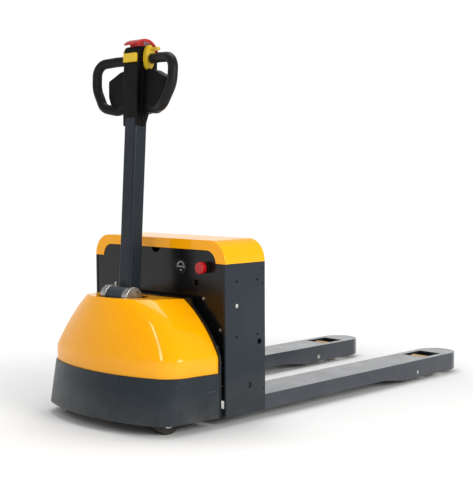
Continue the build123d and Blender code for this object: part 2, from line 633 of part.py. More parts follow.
def belly_button():
    """The arched button over the head's end, on a square stem that slides in the casing."""
    front = (HEAD_FRONT - 3, NECK_TOP + 1 + BELLY_TRAVEL)
    crown = (PIVOT_X + 34, NECK_TOP + 18 + BELLY_TRAVEL)
    rear = (HEAD_REAR + 4, NECK_TOP - 22 + BELLY_TRAVEL)
    half = NECK_HALF - 1
    top = ThreePointArc(*[(x, -half, z) for x, z in (front, crown, rear)])
    low = ThreePointArc(*[(x, -half, z - drop) for (x, z), drop in ((rear, 8), (crown, 9), (front, 7))])
    edges = [top, low, Line(top @ 1, low @ 0), Line(low @ 1, top @ 0)]
    arch = extrude(make_face(edges), amount=2 * half, dir=(0, 1, 0))
    stem = block(PIVOT_X + 14, PIVOT_X + 44, -20, 20, 1260 + BELLY_TRAVEL + 1, NECK_TOP + 14)
    return lean(arch + stem)


def head_screws():
    spots = ((70, 1175), (95, 1138))
    heads = [rod_x(y, z, 5, HEAD_REAR - 22, HEAD_REAR - 19) for y, z in spots]
    return lean(mirrored(joined(heads)))


# ---- Carriage ------------------------------------------------------------------------------
def cover_bar(half, corner_r, z0, z1, x0, x1):
    """A bar along X with its two upper edges rounded, which the cover and all that fits it share."""
    bar = block(x0, x1, -half, half, z0, z1)
    return fillet(bar.edges().filter_by(Axis.X).group_by(Axis.Z)[-1], corner_r)


def battery_lid():
    """The folded cover: a roof with rounded shoulders, a front flange, a rear wall and its hinges."""
    lid = cover_bar(HALF, COVER_CORNER_R, SIDE_TOP + COVER_GAP, COVER_TOP, 0, CARRIAGE_DEPTH)
    inner_top = COVER_TOP - COVER_SHEET
    inner_r = COVER_CORNER_R - COVER_SHEET
    rear_x = CARRIAGE_DEPTH - COVER_SHEET
    lid -= cover_bar(HALF - COVER_SHEET, inner_r, SIDE_TOP - 1, inner_top, COVER_SHEET, rear_x)
    lid -= cover_mouth(-1, COVER_SHEET + 1, 0)
    return lid + hinge_leaf(SIDE_TOP + 6, SIDE_TOP + 33, CARRIAGE_DEPTH, [(-10, 10)]) - hinge_pin(RUNNING)


def side_plate():
    plate = block(0, CARRIAGE_DEPTH, HALF - SIDE_PLATE, HALF, CARRIAGE_BOTTOM, SIDE_TOP)
    holes = [(x, z, PATTERN_HOLE_R) for x, z in pattern_spots()]
    holes += [(178, 468, 3), (179, 521, 3), (179.5, 106, 3), (163, 271, 10), LINK_BOLT]
    holes.append((*ROCKER_PIVOT, JOURNAL_R + RUNNING))
    for x, z, r in holes:
        plate -= rod_y(x, z, r, HALF - SIDE_PLATE - 1, HALF + 1)
    return plate


def pattern_spots():
    (x, z), (dx, dz) = PATTERN_CENTRE, PATTERN_SPACING
    return [(x + i * dx / 2, z + j * dz / 2) for i in (-1, 1) for j in (-1, 1)]


def carriage_frame():
    inner = HALF - SIDE_PLATE
    rear_x = CARRIAGE_DEPTH - COVER_SHEET - FREE
    frame = mirrored(side_plate())
    frame += block(rear_x - 8, rear_x, -inner, inner, FORK_TOP, SIDE_TOP)
    frame += cover_bar(300, 50, SIDE_TOP - 20, 600, rear_x - 8, rear_x)
    frame += block(rear_x - 8, rear_x, -FORK_Y + 80, FORK_Y - 80, CARRIAGE_BOTTOM, FORK_TOP)
    root = block(rear_x - 8, CARRIAGE_DEPTH, FORK_Y - FORK_WIDTH / 2, inner, FORK_TOP - FORK_WALL, FORK_TOP)
    frame += mirrored(root)
    frame += block(7, rear_x - 8, -inner, inner, 190, 196)
    frame += block(7, 13, -60, 60, 196, 300)
    frame += block(0, 8, -inner, inner, CARRIAGE_BOTTOM, 60)
    rest = block(7, 13, inner - 20, inner, 196, SIDE_TOP)
    return frame + mirrored(rest)


def cover_mouth(x0, x1, gap):
    """The opening in the cover's front flange, which the front panel fills but for a gap."""
    return cover_bar(HALF - 44 - gap, 46 - gap, SIDE_TOP - 10, COVER_TOP - 34 - gap, x0, x1)


def front_panel():
    x0 = PANEL_SETBACK
    x1 = x0 + PANEL_SHEET
    panel = block(x0, x1, SIDE_PLATE - HALF, HALF - SIDE_PLATE, 200, SIDE_TOP)
    panel += cover_mouth(x0, x1, COVER_GAP)
    panel -= rod_x(ESTOP_Y, ESTOP_Z, 11, x0 - 1, x1 + 1) + rod_x(GAUGE_Y, GAUGE_Z, 24, x0 - 1, x1 + 1)
    port = block(x0 - 1, x1 + 1, PORT_Y - 13, PORT_Y + 13, PORT_Z - 12, PORT_Z + 12)
    notch = rod_x(6, COVER_TOP - 30, 22, x0 - 1, x1 + 1)
    return panel - port - notch


def estop_base():
    face = PANEL_SETBACK
    body = rod_x(ESTOP_Y, ESTOP_Z, 19, face - 5, face)
    body += rod_x(ESTOP_Y, ESTOP_Z, 11, face, face + PANEL_SHEET + 30)
    body += rod_x(ESTOP_Y, ESTOP_Z, 15, face + PANEL_SHEET, face + PANEL_SHEET + 5)
    return body - rod_x(ESTOP_Y, ESTOP_Z, 7 + RUNNING, face - 6, face + PANEL_SHEET + 22)


def estop_button():
    face = PANEL_SETBACK
    stem = rod_x(ESTOP_Y, ESTOP_Z, 7, face - 14, face + 20)
    cap = rod_x(ESTOP_Y, ESTOP_Z, 20, face - 32, face - 12)
    cap = fillet(cap.edges().filter_by(GeomType.CIRCLE), 3.5)
    return stem + cap


def battery_gauge():
    face = PANEL_SETBACK
    ring = rod_x(GAUGE_Y, GAUGE_Z, 28, face - 5, face) + rod_x(GAUGE_Y, GAUGE_Z, 24, face, face + 32)
    glass = rod_x(GAUGE_Y, GAUGE_Z, 23, face - 6, face - 3)
    return ring - glass


def charge_port():
    face = PANEL_SETBACK
    shell = block(face, face + 26, PORT_Y - 13, PORT_Y + 13, PORT_Z - 12, PORT_Z + 12)
    shell -= block(face - 1, face + 18, PORT_Y - 10.5, PORT_Y + 10.5, PORT_Z - 9.5, PORT_Z + 9.5)
    for y in (-4, 4):
        shell += rod_x(PORT_Y + y, PORT_Z, 2, face + 8, face + 19)
    return shell


def panel_screws():
    face = PANEL_SETBACK
    spots = [(-239, 423), (239, 423), (-317, 324), (317, 324), (-317, 215), (317, 215)]
    heads = [rod_x(y, z, 5, face - 3, face) for y, z in spots]
    return joined(heads)


def link_bolts():
    """The two bright bolts in the side plates, their ends a little below the surface."""
    return mirrored(rod_y(*LINK_BOLT, HALF - SIDE_PLATE - 8, HALF - 1))


def fork(side):
    """A pressed channel, open below, deeper round the load roller and rounded at the tip."""
    half = FORK_WIDTH / 2
    body = fork_profile(0, half) & rounded_run(half)
    body -= fork_profile(FORK_WALL, half - FORK_WALL) & rounded_run(half - FORK_WALL)
    x0, x1, width = WINDOW
    body -= block(x0, x1, -width / 2, width / 2, FORK_TOP - FORK_WALL - 1, FORK_TOP + 1)
    body -= rod_y(YOKE_PIVOT[0], YOKE_PIVOT[1], YOKE_PIN_R, -half - 1, half + 1)
    return body.moved(Location((0, side * FORK_Y, 0)))


def rounded_run(half):
    """A bar along the fork whose far end is round in plan."""
    centre = TIP - FORK_WIDTH / 2
    return block(0, centre, -half, half, -10, 100) + rod_z(centre, 0, half, -10, 100)


def fork_profile(inset, half):
    """The fork's side view, or the hollow inside it, which is open below."""
    start = CARRIAGE_DEPTH - inset
    top = FORK_TOP - inset
    if inset:
        return block(start, TIP, -half, half, -5, top)
    points = [(start, FORK_BOTTOM), (870, FORK_BOTTOM), (1000, FORK_SOLE), (1330, FORK_SOLE)]
    points += [(TIP - 40, FORK_SOLE + 2), (TIP, FORK_SOLE + 14), (TIP, top), (start, top)]
    return slab(points, -half, half)


# ---- Lifting gear --------------------------------------------------------------------------
def lift_bracket():
    arm_top = BRACKET_BOTTOM + 16
    arm = block(-76, -6, -18, 18, BRACKET_BOTTOM, arm_top)
    flange = block(-6, PANEL_SETBACK, -50, 50, BRACKET_BOTTOM - 25, GUSSET_TOP + 8)
    gusset = slab([(-6, arm_top), (-6, GUSSET_TOP), (-44, arm_top)], -4, 4)
    return arm + flange + gusset


def piston_rod():
    return rod_z(-54, 0, 11, 96, BRACKET_BOTTOM)


def rocker_rest_angle():
    return math.radians(ROCKER_SWING / 2)


def rocker_tip():
    a = rocker_rest_angle()
    return ROCKER_PIVOT[0] - ROCKER_FRONT * math.cos(a), ROCKER_PIVOT[1] + ROCKER_FRONT * math.sin(a)


def rocker_lower():
    a = rocker_rest_angle()
    return ROCKER_PIVOT[0] - ROCKER_LOWER * math.sin(a), ROCKER_PIVOT[1] - ROCKER_LOWER * math.cos(a)


def yoke_ear():
    a = math.radians(YOKE_SWING / 2)
    return YOKE_PIVOT[0] - YOKE_EAR * math.sin(a), YOKE_PIVOT[1] + YOKE_EAR * math.cos(a)


def rocker_shaft():
    x, z = ROCKER_PIVOT
    inner = HALF - SIDE_PLATE - FREE
    shaft = rod_y(x, z, ROCKER_TUBE_R, -inner, inner)
    journals = rod_y(x, z, JOURNAL_R, -HALF + 5, HALF - 5)
    tip = rocker_tip()
    low = rocker_lower()
    arm = arm_plate((x, z), tip, 24, 13, FORK_Y - 8, FORK_Y + 8)
    arm += rod_y(tip[0], tip[1], 8.5, FORK_Y - 22, FORK_Y + 22)
    for y in (FORK_Y + 10, FORK_Y - 18):
        arm += arm_plate((x, z), low, 24, 11, y, y + 8)
    arm += rod_y(low[0], low[1], 5, FORK_Y - 12, FORK_Y + 12)
    return shaft + journals + mirrored(arm)


def push_rods():
    """A flat bar in each fork, with a slotted eye at both ends that the levers' pins play in."""
    start, end = rocker_lower(), yoke_ear()
    low = [(start[0] + 8, start[1] - 7), (end[0] - 8, end[1] - 7)]
    high = [(end[0] - 8, end[1] + 7), (start[0] + 8, start[1] + 7)]
    bar = slab(low + high, FORK_Y - 6, FORK_Y + 6)
    return mirrored(bar + rod_eye(start, -5.2) + rod_eye(end, 7.4))


def rod_eye(pin, play):
    """An eye round a pin of radius 5, with a slot that reaches up or down by the pin's play."""
    x, z = pin
    low, high = sorted((z, z + play))
    eye = block(x - 11, x + 11, FORK_Y - 6, FORK_Y + 6, low - 9, high + 8)
    slot = block(x - 5.8, x + 5.8, FORK_Y - 7, FORK_Y + 7, low - 5.6, high + 5.4)
    return eye - fillet(slot.edges().filter_by(Axis.Y), 4)


def load_yoke(side):
    y = side * FORK_Y
    axle = (ROLLER_X, ROLLER_R)
    ear = yoke_ear()
    yoke = rod_y(*YOKE_PIVOT, 17, y - ROLLER_WIDTH / 2 - 2, y + ROLLER_WIDTH / 2 + 2)
    for inner in (ROLLER_WIDTH / 2 + 2, -ROLLER_WIDTH / 2 - 10):
        yoke += arm_plate(YOKE_PIVOT, axle, 19, 17, y + inner, y + inner + 8)
    for inner in (8, -15):
        yoke += arm_plate(YOKE_PIVOT, ear, 16, 8, y + inner, y + inner + 7)
    yoke += rod_y(ear[0], ear[1], 5, y - 12, y + 12)
    yoke += rod_y(*axle, ROLLER_AXLE_R, y - ROLLER_WIDTH / 2 - 14, y + ROLLER_WIDTH / 2 + 14)
    return yoke - rod_y(*YOKE_PIVOT, YOKE_PIN_R + RUNNING, y - 90, y + 90)


def load_core(side):
    y = side * FORK_Y
    half = ROLLER_WIDTH / 2
    core = rod_y(ROLLER_X, ROLLER_R, ROLLER_R - ROLLER_TYRE, y - half, y + half)
    return core - rod_y(ROLLER_X, ROLLER_R, ROLLER_AXLE_R + RUNNING, y - half - 1, y + half + 1)


def load_tyre(side):
    return tyre(ROLLER_X, side * FORK_Y, ROLLER_R, ROLLER_R, ROLLER_TYRE, ROLLER_WIDTH, 3)


def yoke_pins():
    half = FORK_WIDTH / 2
    pin = rod_y(*YOKE_PIVOT, YOKE_PIN_R, FORK_Y - half - 1, FORK_Y + half - 2)
    return mirrored(pin)


# ---- Battery -------------------------------------------------------------------------------
def battery():
    half = HALF - SIDE_PLATE - 12
    case = block(16, 172, -half, half, 196, BATTERY_TOP)
    case = fillet(case.edges().filter_by(Axis.Z), 8)
    return joined([case] + [block(30, 158, y - 8, y + 8, BATTERY_TOP, BATTERY_TOP + 10) for y in (-240, 240)])


def battery_terminals():
    strap_top = BATTERY_TOP + 20
    posts = [rod_z(60, y, 9, BATTERY_TOP, strap_top) for y in (-120, -60, 60, 120)]
    return joined(posts + [block(52, 68, -60, 60, strap_top - 4, strap_top)])


# ---- Hinges --------------------------------------------------------------------------------


def hinge_leaf(z0, z1, x0, spans):
    """A pair of hinge leaves on the rear face, with a knuckle for each span either side of centre."""
    pieces = []
    for centre in (-200, 200):
        pieces.append(block(x0, CARRIAGE_DEPTH + 2, centre - 30, centre + 30, z0, z1))
        for low, high in spans:
            foot = sorted((HINGE_Z, z0 + 2 if z0 > HINGE_Z else z1 - 2))
            pieces.append(rod_y(HINGE_X, HINGE_Z, 5, centre + low, centre + high))
            pieces.append(block(CARRIAGE_DEPTH + 0.5, CARRIAGE_DEPTH + 3, centre + low, centre + high, *foot))
    return joined(pieces)


def hinge_pin(clearance):
    return mirrored(rod_y(HINGE_X, HINGE_Z, 2.5 + clearance, 169, 231))


def lid_hinges():
    knuckles = [(-30, -10 - FREE), (10 + FREE, 30)]
    leaf = hinge_leaf(SIDE_TOP - 38, SIDE_TOP - 5, CARRIAGE_DEPTH - COVER_SHEET - FREE, knuckles)
    return leaf + hinge_pin(0)


def nodes():
    """Every node's name and shape. The left side is at +Y."""
    front_shell, rear_shell = head_shells()
    shapes = {
        "chassis_frame": chassis_frame(),
        "drive_skirt": drive_skirt(),
        "drive_hood": drive_hood(),
        "hood_screws": hood_screws(),
        "steer_bearing": steer_bearing(),
        "steering_motor": steering_motor(),
        "power_pack": power_pack(),
        "motor_controller": motor_controller(),
        "lift_cylinder": lift_cylinder(),
        "drive_bracket": drive_bracket(),
        "drive_gearbox": drive_gearbox(),
        "drive_axle": drive_axle(),
        "traction_motor": traction_motor(),
        "steer_gear": steer_gear(),
        "steer_pinion": steer_pinion(),
        "drive_hub": drive_hub(),
        "drive_tyre": tyre(DRIVE_X, 0, DRIVE_WHEEL_R, DRIVE_WHEEL_R, DRIVE_TYRE, DRIVE_WHEEL_WIDTH, 8),
        "tiller_swivel": tiller_swivel(),
        "pivot_pin": pivot_pin(),
        "tiller_barrel": tiller_barrel(),
        "tiller_arm": tiller_arm(),
        "grease_nipple": grease_nipple(),
        "head_front_shell": front_shell,
        "head_rear_shell": rear_shell,
        "handle_loops": handle_loops(),
        "head_screws": head_screws(),
        "throttle_paddles": throttle_paddles(),
        "lift_key": lift_key(),
        "belly_button": belly_button(),
        "carriage_frame": carriage_frame(),
        "front_panel": front_panel(),
        "battery_lid": battery_lid(),
        "lid_hinges": lid_hinges(),
        "battery": battery(),
        "battery_terminals": battery_terminals(),
        "estop_base": estop_base(),
        "estop_button": estop_button(),
        "battery_gauge": battery_gauge(),
        "charge_port": charge_port(),
        "panel_screws": panel_screws(),
        "link_bolts": link_bolts(),
        "lift_bracket": lift_bracket(),
        "piston_rod": piston_rod(),
        "rocker_shaft": rocker_shaft(),
        "push_rods": push_rods(),
        "yoke_pins": yoke_pins(),
    }
    for name, side in SIDES.items():
        shapes[f"caster_fork_{name}"] = caster_fork(side)
        shapes[f"caster_hub_{name}"] = caster_hub(side)
        shapes[f"caster_tyre_{name}"] = caster_tyre(side)
        shapes[f"fork_{name}"] = fork(side)
        shapes[f"load_yoke_{name}"] = load_yoke(side)
        shapes[f"load_core_{name}"] = load_core(side)
        shapes[f"load_tyre_{name}"] = load_tyre(side)
    return shapes


def main():
    os.makedirs("parts", exist_ok=True)
    for name, shape in nodes().items():
        export_step(shape.moved(Location((ROW_SHIFT, 0, 0))), f"parts/{name}.step")


main()
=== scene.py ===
import json
import math

import bmesh
import bpy
from mathutils import Matrix, Vector


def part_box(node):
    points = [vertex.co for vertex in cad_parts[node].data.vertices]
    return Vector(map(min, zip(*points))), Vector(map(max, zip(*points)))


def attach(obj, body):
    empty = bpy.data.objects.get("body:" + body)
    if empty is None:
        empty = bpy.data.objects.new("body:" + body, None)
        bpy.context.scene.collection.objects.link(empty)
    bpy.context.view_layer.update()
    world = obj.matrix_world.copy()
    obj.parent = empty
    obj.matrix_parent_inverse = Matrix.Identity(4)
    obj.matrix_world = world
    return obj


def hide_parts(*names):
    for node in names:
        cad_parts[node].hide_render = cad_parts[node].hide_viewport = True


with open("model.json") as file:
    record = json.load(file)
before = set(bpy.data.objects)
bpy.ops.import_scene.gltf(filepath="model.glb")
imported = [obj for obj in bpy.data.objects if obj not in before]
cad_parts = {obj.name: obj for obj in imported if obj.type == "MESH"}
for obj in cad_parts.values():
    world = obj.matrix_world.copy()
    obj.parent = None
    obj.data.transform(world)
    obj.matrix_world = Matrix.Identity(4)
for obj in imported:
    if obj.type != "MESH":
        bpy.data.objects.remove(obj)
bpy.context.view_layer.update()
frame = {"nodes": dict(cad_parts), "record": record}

# Metres, in the row frame: X = 0 is the middle of the footprint, Z = 0 is the floor.
RECORD = frame["record"]
NODES = frame["nodes"]
SLOT_OF = {part["node"]: part["material_slot"] for part in RECORD["subparts"]}
BODY_OF = {node: body for body, nodes in RECORD["behaviour"]["bodies"].items() for node in nodes}
FRONT_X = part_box("carriage_frame")[0].x


# ---- Sizes and settings --------------------------------------------------------------------
# The camera's place is given from the carriage's front face, the middle of the truck's width and
# the floor. Its focal length is in widths of the picture.
CAMERA_PLACE = (FRONT_X - 2.4131, -2.7886, 0.8383)
CAMERA_YAW = math.radians(44.76)
CAMERA_PITCH = math.radians(3.5)
CAMERA_ROLL = math.radians(-0.25)
CAMERA_FOCAL = 2.224524
SENSOR_WIDTH = 36.0

# The width of the rounding on each node's sharp edges.
EDGES = {
    "battery_lid": 0.0025,
    "carriage_frame": 0.0012,
    "front_panel": 0.0008,
    "drive_skirt": 0.0015,
    "fork_left": 0.0025,
    "fork_right": 0.0025,
    "tiller_arm": 0.0010,
    "tiller_swivel": 0.0015,
    "chassis_frame": 0.0012,
    "drive_hood": 0.0030,
    "load_yoke_left": 0.0008,
    "load_yoke_right": 0.0008,
    "caster_fork_left": 0.0008,
    "caster_fork_right": 0.0008,
    "drive_bracket": 0.0012,
    "lift_bracket": 0.0010,
    "estop_button": 0.0010,
    "battery_gauge": 0.0008,
    "charge_port": 0.0005,
}

TILLER_LEAN = math.radians(3.5)
# The collar wall's span along X, Y and Z from the tiller's pivot, before the tiller leans.
COLLAR_WALL = ((0.0050, 0.0098), (-0.0365, 0.0365), (0.5740, 0.6950))

# Moulded pieces: the voxel that each is remeshed at, and how many times it is smoothed.
MOULDED = {
    "head_front_shell": (0.0016, 7),
    "head_rear_shell": (0.0016, 7),
    "throttle_paddles": (0.0013, 6),
    "belly_button": (0.0013, 6),
    "lift_key": (0.0008, 4),
}

# The gauge's face: the glass behind the rim, the print's thickness, the arc of segments in degrees,
# and each state block's middle (Y, Z) and size (Y, Z).
GAUGE_GLASS_DEPTH = 0.002
PRINT_THICK = 0.0008
ARC_RADII = (0.0135, 0.0185)
ARC_START, ARC_STEP, ARC_SEGMENT = 200, 37, 29
ARC_COUNT = 6
STATE_BLOCKS = (
    (0.0045, -0.001, 0.006, 0.007),
    (-0.0060, -0.001, 0.006, 0.007),
    (0, -0.0125, 0.012, 0.0045),
)

# The sky's strength by the height of the direction, and its share on the side behind the camera.
SKY_FADE = {"From Min": 0.18, "From Max": 0.50, "To Min": 1.03, "To Max": 0.45}
SKY_BEHIND = {"From Min": -0.5, "From Max": 0.3, "To Min": 0.5, "To Max": 1.0}
VIEW_SIDE = (0.71, 0.71, 0)
FLOOR_REACH = 60.0
FLOOR_GLOW = 0.66
# The floor glows a little away from the truck, so that it is white as far as the horizon.
GLOW_START, GLOW_FULL = 0.8, 2.6
# Each light: name, place, target, size, watts and tint.
LIGHTS = (
    ("soft_key", (-0.6, -3.6, 1.7), (-0.4, 0, 0.35), (1.5, 1.3), 80, (1.0, 0.99, 0.97)),
    ("strip_front", (-3.6, -1.3, 2.7), (-0.7, -0.1, 0.4), (0.30, 2.2), 30, (1, 1, 1)),
    ("soft_top", (0.3, 0.3, 3.6), (0.2, 0, 0.2), (2.6, 2.0), 66, (1, 1, 1)),
)


# ---- Materials -----------------------------------------------------------------------------
def srgb(r, g, b):
    """An RGBA colour for a shader from 0-255 display values."""
    def lin(value):
        c = value / 255
        return c / 12.92 if c <= 0.04045 else ((c + 0.055) / 1.055) ** 2.4
    return (lin(r), lin(g), lin(b), 1.0)


class Shader:
    """A Principled material built up from object-space noise."""

    def __init__(self, name, colour, rough, metallic=0.0, coat=0.0, coat_rough=0.05, specular=0.5):
        self.mat = bpy.data.materials.new(name)
        self.mat.use_nodes = True
        self.tree = self.mat.node_tree
        self.bsdf = self.tree.nodes["Principled BSDF"]
        self.bsdf.inputs["Metallic"].default_value = metallic
        self.bsdf.inputs["Coat Weight"].default_value = coat
        self.bsdf.inputs["Coat Roughness"].default_value = coat_rough
        self.bsdf.inputs["Specular IOR Level"].default_value = specular
        self.coords = self.node("ShaderNodeTexCoord").outputs["Object"]
        self.colour = colour
        self.base = None
        self.rough = rough
        self.rough_out = None
        self.height = None

    def node(self, kind, **settings):
        made = self.tree.nodes.new(kind)
        for key, value in settings.items():
            setattr(made, key, value)
        return made

    def link(self, a, b):
        self.tree.links.new(a, b)

    def noise(self, scale, detail=3.0, stretch=(1, 1, 1), rough=0.55):
        mapping = self.node("ShaderNodeMapping")
        mapping.inputs["Scale"].default_value = stretch
        self.link(self.coords, mapping.inputs["Vector"])
        made = self.node("ShaderNodeTexNoise")
        made.inputs["Scale"].default_value = scale
        made.inputs["Detail"].default_value = detail
        made.inputs["Roughness"].default_value = rough
        self.link(mapping.outputs["Vector"], made.inputs["Vector"])
        return made.outputs["Fac"]

    def span(self, value, low, high, to_low, to_high):
        made = self.node("ShaderNodeMapRange")
        for key, number in (("From Min", low), ("From Max", high), ("To Min", to_low), ("To Max", to_high)):
            made.inputs[key].default_value = number
        self.link(value, made.inputs["Value"])
        return made.outputs["Result"]

    def maths(self, operation, a, b):
        made = self.node("ShaderNodeMath", operation=operation)
        for socket, value in zip(made.inputs, (a, b)):
            if isinstance(value, (int, float)):
                socket.default_value = value
            else:
                self.link(value, socket)
        return made.outputs["Value"]

    def blend(self, mask, other):
        """Mixes another colour over the base where mask is 1."""
        made = self.node("ShaderNodeMix", data_type="RGBA")
        if self.base is None:
            made.inputs[6].default_value = self.colour
        else:
            self.link(self.base, made.inputs[6])
        made.inputs[7].default_value = other
        self.link(mask, made.inputs[0])
        self.base = made.outputs[2]
        return self

    def mottle(self, other, scale=6.0, low=0.35, high=0.7, most=1.0):
        return self.blend(self.span(self.noise(scale), low, high, 0.0, most), other)

    def roughen(self, spread, scale=14.0, stretch=(1, 1, 1)):
        """Varies the roughness by spread either way."""
        noise = self.noise(scale, 4.0, stretch)
        self.rough_out = self.span(noise, 0.3, 0.7, self.rough - spread, self.rough + spread)
        return self

    def grain(self, scale, depth, strength=0.5, detail=2.0, stretch=(1, 1, 1)):
        """Fine relief, with depth in metres."""
        bump = self.node("ShaderNodeBump")
        bump.inputs["Strength"].default_value = strength
        bump.inputs["Distance"].default_value = depth
        self.link(self.noise(scale, detail, stretch), bump.inputs["Height"])
        if self.height is not None:
            self.link(self.height, bump.inputs["Normal"])
        self.height = bump.outputs["Normal"]
        return self

    # Thin streaks of another colour: real scratches on the slate paints, and painted highlight streaks on
    # the yellow paints.
    def scratch_and_highlight_streaks(self, other, scale=90.0, stretch=(1, 1, 0.06), cut=0.66, most=0.5):
        return self.blend(self.span(self.noise(scale, 2.0, stretch), cut, cut + 0.05, 0.0, most), other)

    def below(self, other, z_low, z_high, most=0.6, scale=9.0):
        """Dust or scuffing that fades out with height, broken up by noise."""
        axis = self.node("ShaderNodeSeparateXYZ")
        self.link(self.coords, axis.inputs["Vector"])
        fade = self.span(axis.outputs["Z"], z_low, z_high, most, 0.0)
        patches = self.span(self.noise(scale, 5.0), 0.35, 0.65, 0.2, 1.0)
        return self.blend(self.maths("MULTIPLY", fade, patches), other)

    def done(self):
        if self.base is None:
            self.bsdf.inputs["Base Color"].default_value = self.colour
        else:
            self.link(self.base, self.bsdf.inputs["Base Color"])
        if self.rough_out is not None:
            self.link(self.rough_out, self.bsdf.inputs["Roughness"])
        else:
            self.bsdf.inputs["Roughness"].default_value = self.rough
        if self.height is not None:
            self.link(self.height, self.bsdf.inputs["Normal"])
        return self.mat


def yellow_paint(name, deep, highlight_streak):
    paint = Shader(name, srgb(250, 172, 2), 0.28, coat=0.5, coat_rough=0.03, specular=0.04)
    paint.mottle(deep, 3.0, 0.35, 0.75, 0.5)
    # Paler yellow streaks running down the hood and lid: painted highlight streaks, not wear.
    paint.scratch_and_highlight_streaks(highlight_streak, 60.0, (1, 1, 0.15), 0.72, 0.2)
    paint.below(srgb(196, 140, 46), 0.17, 0.24, 0.25)
    return paint.roughen(0.05, 5.0).grain(420.0, 0.00010, 0.2).done()


def slate_paint(name, colour, light, rough=0.38, dust=0.3, dust_top=0.18, gloss=0.1):
    paint = Shader(name, colour, rough, coat=gloss, coat_rough=0.2, specular=0.12)
    paint.mottle(light, 5.0, 0.4, 0.75, 0.5)
    paint.scratch_and_highlight_streaks(srgb(104, 110, 116), 80.0, (0.05, 1, 1), 0.72, 0.25)
    paint.below(srgb(112, 109, 104), 0.0, dust_top, dust)
    return paint.roughen(0.08, 11.0).grain(520.0, 0.00015, 0.3).done()


def plastic(name, colour, light, rough, grain=900.0, depth=0.0002, coat=0.0, specular=0.3):
    made = Shader(name, colour, rough, coat=coat, coat_rough=0.2, specular=specular)
    made.mottle(light, 14.0, 0.45, 0.75, 0.5)
    return made.roughen(0.07, 25.0).grain(grain, depth, 0.5).done()


def steel(name, colour, dark, rough, stretch=(1, 1, 1), depth=0.00006):
    made = Shader(name, colour, rough, metallic=1.0)
    made.mottle(dark, 16.0, 0.4, 0.75, 0.7)
    made.roughen(0.12, 40.0, stretch)
    return made.grain(700.0, depth, 0.5, 2.0, stretch).done()


def rubber(name, colour, dust, rough=0.75):
    made = Shader(name, colour, rough, specular=0.25)
    made.mottle(dust, 22.0, 0.42, 0.7, 0.6)
    return made.roughen(0.08, 30.0).grain(260.0, 0.0004, 0.6, 4.0).done()


def cast(name, colour, light):
    made = Shader(name, colour, 0.62, metallic=0.55)
    made.mottle(light, 30.0, 0.4, 0.7, 0.7)
    return made.roughen(0.08, 60.0).grain(330.0, 0.0006, 0.7, 4.0).done()


SLATE = srgb(36, 43, 49)
SLATE_LIGHT = srgb(46, 53, 60)
MATERIALS = {
    "hood_yellow": yellow_paint("hood_yellow", srgb(236, 152, 0), srgb(255, 214, 96)),
    "lid_yellow": yellow_paint("lid_yellow", srgb(238, 156, 0), srgb(255, 214, 96)),
    "slate_paint": slate_paint("slate_paint", SLATE, SLATE_LIGHT),
    "skirt_paint": slate_paint("skirt_paint", srgb(35, 42, 48), SLATE_LIGHT, 0.34, 0.4, 0.14, 0.15),
    "fork_paint": slate_paint("fork_paint", srgb(42, 48, 56), srgb(56, 62, 70), 0.26, 0.25, 0.06, 0.75),
    "arm_paint": slate_paint("arm_paint", srgb(29, 35, 42), srgb(39, 46, 53), 0.34, 0.0),
    "barrel_paint": slate_paint("barrel_paint", srgb(52, 60, 70), srgb(66, 74, 84), 0.34, 0.0),
    # Near-black panel paint: the chassis plate in the gap behind the hood is made as dark as the shade in
    # that gap, so this colour is partly the plate's own dark paint and partly painted shade.
    "panel_black": slate_paint("panel_black", srgb(13, 14, 15), srgb(20, 21, 22), 0.24, 0.0, gloss=0.28),
    "motor_black": slate_paint("motor_black", srgb(30, 31, 33), srgb(44, 45, 47), 0.5, 0.0),
    "pack_grey": slate_paint("pack_grey", srgb(148, 150, 152), srgb(164, 166, 168), 0.5, 0.0),
    "head_black": plastic("head_black", srgb(5, 5, 5), srgb(9, 9, 9), 0.46, specular=0.10),
    "grip_black": plastic("grip_black", srgb(10, 10, 10), srgb(16, 16, 16), 0.5, 600.0, 4e-4, specular=0.2),
    "black_plastic": plastic("black_plastic", srgb(14, 14, 14), srgb(24, 24, 24), 0.42),
    "gauge_black": plastic("gauge_black", srgb(12, 13, 14), srgb(20, 21, 22), 0.16, coat=0.6),
    "paddle_yellow": plastic("paddle_yellow", srgb(196, 160, 22), srgb(214, 180, 52), 0.34),
    "key_yellow": plastic("key_yellow", srgb(212, 176, 34), srgb(228, 196, 72), 0.34),
    "button_red": plastic("button_red", srgb(168, 18, 14), srgb(196, 46, 36), 0.32, coat=0.2),
    "estop_red": plastic("estop_red", srgb(160, 8, 12), srgb(184, 30, 28), 0.28, coat=0.25),
    "battery_case": plastic("battery_case", srgb(48, 52, 58), srgb(66, 70, 76), 0.5),
    "controller_alu": steel("controller_alu", srgb(170, 172, 174), srgb(128, 130, 132), 0.42),
    "dark_steel": steel("dark_steel", srgb(104, 104, 104), srgb(64, 62, 60), 0.42),
    "bright_steel": steel("bright_steel", srgb(205, 204, 200), srgb(150, 148, 144), 0.26),
    "pin_steel": steel("pin_steel", srgb(188, 188, 184), srgb(128, 127, 124), 0.30, (1, 0.05, 1)),
    "zinc": steel("zinc", srgb(196, 194, 184), srgb(150, 148, 138), 0.38),
    "lead": steel("lead", srgb(150, 146, 140), srgb(104, 102, 98), 0.55),
    "cast_grey": cast("cast_grey", srgb(84, 86, 88), srgb(110, 110, 110)),
    "drive_rubber": rubber("drive_rubber", srgb(64, 50, 40), srgb(104, 90, 76)),
    "caster_rubber": rubber("caster_rubber", srgb(46, 42, 38), srgb(80, 72, 64)),
    "roller_tan": rubber("roller_tan", srgb(188, 158, 112), srgb(150, 124, 90), 0.6),
}


def finish(obj, slot):
    """One material on the whole object."""
    if not obj.material_slots:
        obj.data.materials.append(MATERIALS[slot])
    for holder in obj.material_slots:
        holder.material = MATERIALS[slot]


def stand_for(piece, *nodes):
    """The piece takes the place, the body and the finish of these CAD nodes."""
    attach(piece, BODY_OF[nodes[0]])
    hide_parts(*nodes)
    finish(piece, SLOT_OF[nodes[0]])
    return piece


